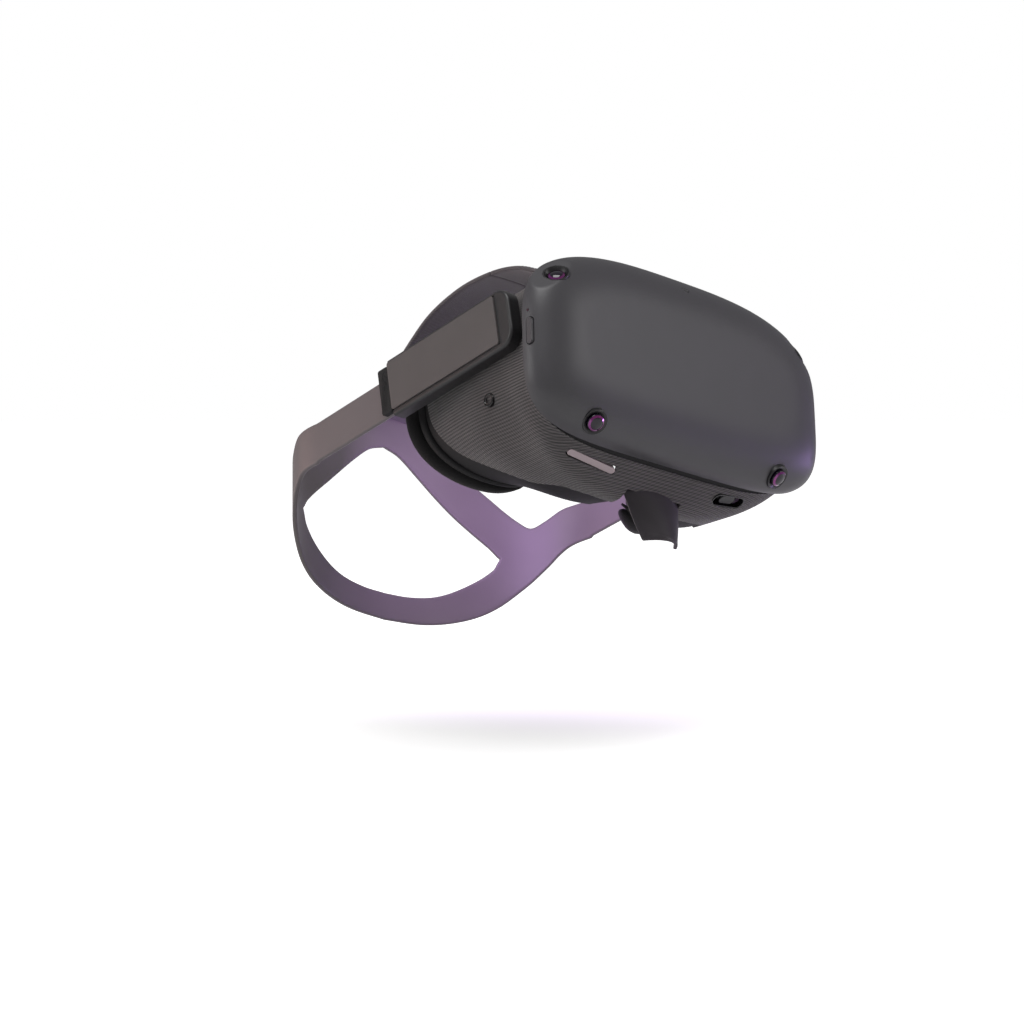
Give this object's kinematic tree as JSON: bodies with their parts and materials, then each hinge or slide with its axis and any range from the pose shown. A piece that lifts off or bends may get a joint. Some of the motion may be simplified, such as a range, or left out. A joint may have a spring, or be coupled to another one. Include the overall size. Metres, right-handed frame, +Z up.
{
  "type": "vr headset",
  "caption": "Standalone head-worn display with a rounded front cover, corner cameras, fabric body, face cushion, pivoting side arms and an open halo head strap with a top band.",
  "frame": {"origin": "centre of the plane where the front cover meets the rear shell", "axes": "-Y the way the wearer looks, +X the wearer's left, +Z up"},
  "size_m": [0.195, 0.2306, 0.1673],
  "materials": {
    "cover_plastic": "satin soft-touch",
    "black_plastic": "matte",
    "knit_fabric": "fine ribbed knit",
    "foam": "smooth knit over foam",
    "soft_rubber": "matte",
    "strap_rubber": "satin",
    "tab_fabric": "smooth",
    "hook_fabric": "hook tape",
    "lens_glass": "coated",
    "camera_glass": "coated",
    "circuit_board": "solder mask",
    "aluminium": "machined",
    "steel": "turned",
    "battery_wrap": "film",
    "display_glass": "glass",
    "led": "clear",
    "nylon": "moulded"
  },
  "bodies": {
    "visor": {"front_cover": "cover_plastic", "seam_trim": "black_plastic", "status_led": "led", "microphone": "black_plastic", "power_switch": "black_plastic", "mid_frame": "black_plastic", "guide_rods": "steel", "frame_screws": "steel", "battery": "battery_wrap", "main_board": "circuit_board", "heat_sink": "aluminium", "fan_housing": "black_plastic", "fabric_shell": "knit_fabric", "gasket_frame": "black_plastic", "face_foam": "foam", "nose_flap": "soft_rubber", "eye_shroud": "foam", "proximity_sensor": "black_plastic", "strap_anchor": "black_plastic", "left_audio_jack": "black_plastic", "right_audio_jack": "black_plastic", "usb_port": "aluminium", "left_speaker": "black_plastic", "right_speaker": "black_plastic", "volume_bracket": "black_plastic", "left_pivot_bush": "nylon", "right_pivot_bush": "nylon", "top_strap": "tab_fabric", "upper_left_camera": "black_plastic", "upper_left_camera_lens": "camera_glass", "upper_right_camera": "black_plastic", "upper_right_camera_lens": "camera_glass", "lower_left_camera": "black_plastic", "lower_left_camera_lens": "camera_glass", "lower_right_camera": "black_plastic", "lower_right_camera_lens": "camera_glass"},
    "right_arm": {"right_arm_shell": "black_plastic", "right_arm_cover": "black_plastic", "right_pivot_pin": "steel", "right_side_tab": "tab_fabric", "right_hook_pad": "hook_fabric"},
    "left_arm": {"left_arm_shell": "black_plastic", "left_arm_cover": "black_plastic", "left_pivot_pin": "steel", "left_side_tab": "tab_fabric", "left_hook_pad": "hook_fabric"},
    "head_strap": {"halo_strap": "strap_rubber"},
    "left_eyepiece": {"left_lens_barrel": "black_plastic", "left_lens": "lens_glass", "left_display": "display_glass", "ipd_knob": "black_plastic"},
    "right_eyepiece": {"right_lens_barrel": "black_plastic", "right_lens": "lens_glass", "right_display": "display_glass"},
    "pinion": {"ipd_pinion": "nylon"},
    "fan": {"fan_rotor": "black_plastic"},
    "button": {"power_button": "cover_plastic"},
    "rocker": {"volume_rocker": "cover_plastic"}
  },
  "joints": [
    {"name": "right_arm_pivot", "type": "hinge", "parent": "visor", "child": "right_arm", "pos_m": [-0.0932, 0.02, 0.0076], "axis": [1, 0, 0], "range_deg": [-10, 15], "deforming": ["top_strap"]},
    {"name": "left_arm_pivot", "type": "hinge", "parent": "visor", "child": "left_arm", "pos_m": [0.0932, 0.02, 0.0076], "axis": [1, 0, 0], "range_deg": [-10, 15]},
    {"name": "head_strap_slide", "type": "slide", "parent": "right_arm", "child": "head_strap", "axis": [0, 0.9888, -0.1495], "range_m": [0, 0.025], "deforming": ["top_strap"]},
    {"name": "left_eyepiece_slide", "type": "slide", "parent": "visor", "child": "left_eyepiece", "axis": [1, 0, 0], "range_m": [-0.0035, 0.0035]},
    {"name": "right_eyepiece_slide", "type": "slide", "parent": "visor", "child": "right_eyepiece", "axis": [1, 0, 0], "range_m": [-0.0035, 0.0035]},
    {"name": "ipd_pinion_spin", "type": "hinge", "parent": "visor", "child": "pinion", "pos_m": [0, 0.0097, -0.0403], "axis": [0, 1, 0], "range_deg": [-46, 46]},
    {"name": "fan_spin", "type": "hinge", "parent": "visor", "child": "fan", "pos_m": [0, -0.004, 0.022], "axis": [0, 1, 0], "continuous": true},
    {"name": "power_button_press", "type": "slide", "parent": "visor", "child": "button", "axis": [1, 0, 0], "range_m": [0, 0.0004], "stiffness_N_per_m": 800, "springref_m": -0.0003},
    {"name": "volume_rocker_tilt", "type": "hinge", "parent": "visor", "child": "rocker", "pos_m": [-0.04535, 0.01196, -0.04672], "axis": [0.0673, -0.8506, 0.5215], "range_deg": [-2, 2], "stiffness_Nm_per_rad": 0.6}
  ],
  "couplings": [
    {"joint": "left_arm_pivot", "follows": "right_arm_pivot", "ratio": 1},
    {"joint": "right_eyepiece_slide", "follows": "left_eyepiece_slide", "ratio": -1},
    {"joint": "ipd_pinion_spin", "follows": "left_eyepiece_slide", "rad_per_m": 222.22}
  ]
}
